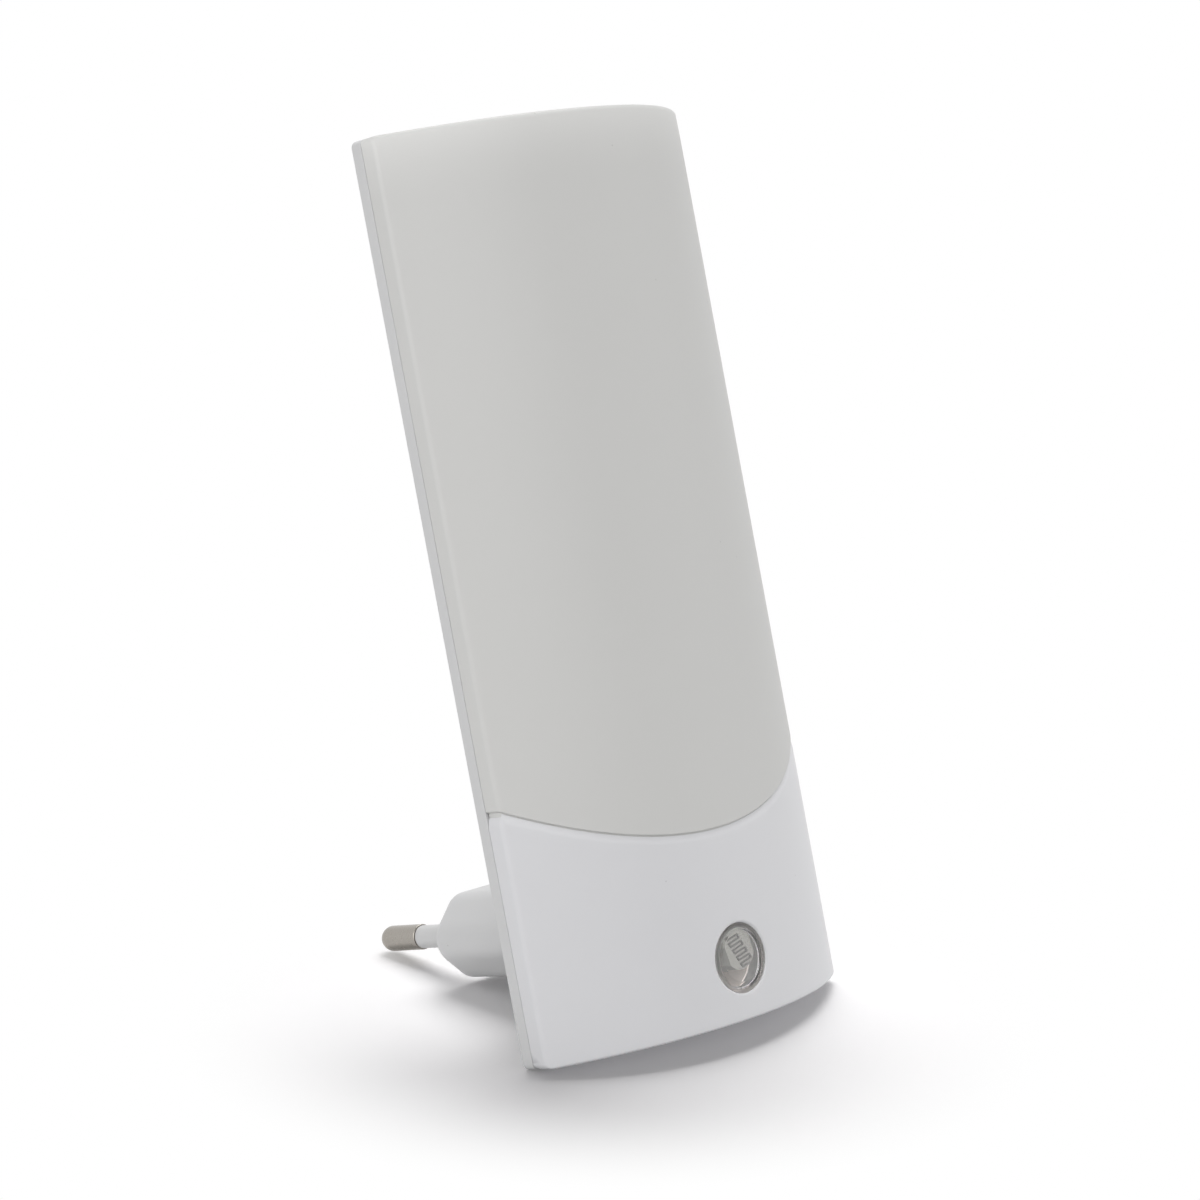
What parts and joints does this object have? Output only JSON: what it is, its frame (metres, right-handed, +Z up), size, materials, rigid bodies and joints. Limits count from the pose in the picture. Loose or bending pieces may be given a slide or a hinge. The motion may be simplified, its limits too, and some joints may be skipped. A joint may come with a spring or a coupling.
{
  "type": "plug-in night light",
  "caption": "Slim wall night light with a crowned milky diffuser over a plain cover with a dusk sensor, on a flat round-pin mains plug.",
  "frame": {"origin": "centre of the plug's end face, halfway between the two pins", "axes": "+X across the wall to the right, +Y into the wall along the pins, +Z up along the case"},
  "size_m": [0.062, 0.0683, 0.135],
  "materials": {
    "opal_plastic": "milky, satin, lets light through",
    "white_abs": "fine satin moulded texture",
    "sleeve_nylon": "smooth satin",
    "clear_acrylic": "clear, polished, with a hollow dish",
    "nickel_plate": "nickel plated, drawn along the pin",
    "tinned_wire": "tinned copper",
    "lug_brass": "stamped, plain",
    "screw_steel": "zinc plated",
    "retainer_board": "pressed laminate",
    "shroud_plastic": "satin, mid grey",
    "baffle_foam": "closed-cell foam, matt",
    "cell_ceramic": "unglazed with a clear coat",
    "cell_track": "dark printed line",
    "brown_insulation": "extruded, satin",
    "blue_insulation": "extruded, satin",
    "green_laminate": "solder mask over glass laminate",
    "white_laminate": "white solder mask over laminate",
    "lamp_phosphor": "yellow phosphor gel in a white frame",
    "chip_black": "glazed chip body",
    "tray_white": "white, satin",
    "capacitor_yellow": "moulded box, satin",
    "capacitor_sleeve": "shrunk sleeve, glossy",
    "resistor_green": "cement coat, matt",
    "resistor_tan": "lacquer, satin",
    "diode_black": "moulded epoxy, satin",
    "zener_glass": "amber glass body"
  },
  "bodies": {
    "root": {"rear_housing": "white_abs", "diffuser": "opal_plastic", "lower_cover": "white_abs", "sensor_lens": "clear_acrylic", "sensor_shroud": "shroud_plastic", "photocell": "cell_ceramic", "photocell_track": "cell_track", "photocell_leads": "tinned_wire", "plug_pins": "nickel_plate", "pin_sleeves": "sleeve_nylon", "pin_retainer": "retainer_board", "retainer_screw": "screw_steel", "contact_lugs": "lug_brass", "live_wire": "brown_insulation", "neutral_wire": "blue_insulation", "control_board": "green_laminate", "light_board": "white_laminate", "light_diodes": "lamp_phosphor", "light_resistors": "chip_black", "reflector": "tray_white", "light_baffle": "baffle_foam", "link_wires": "tinned_wire", "film_capacitor": "capacitor_yellow", "smoothing_capacitor": "capacitor_sleeve", "fuse_resistor": "resistor_green", "bleed_resistor": "resistor_tan", "rectifier_diodes": "diode_black", "zener_diode": "zener_glass", "transistor": "diode_black", "signal_resistors": "resistor_tan", "board_screws": "screw_steel", "case_screws": "screw_steel"}
  },
  "joints": []
}
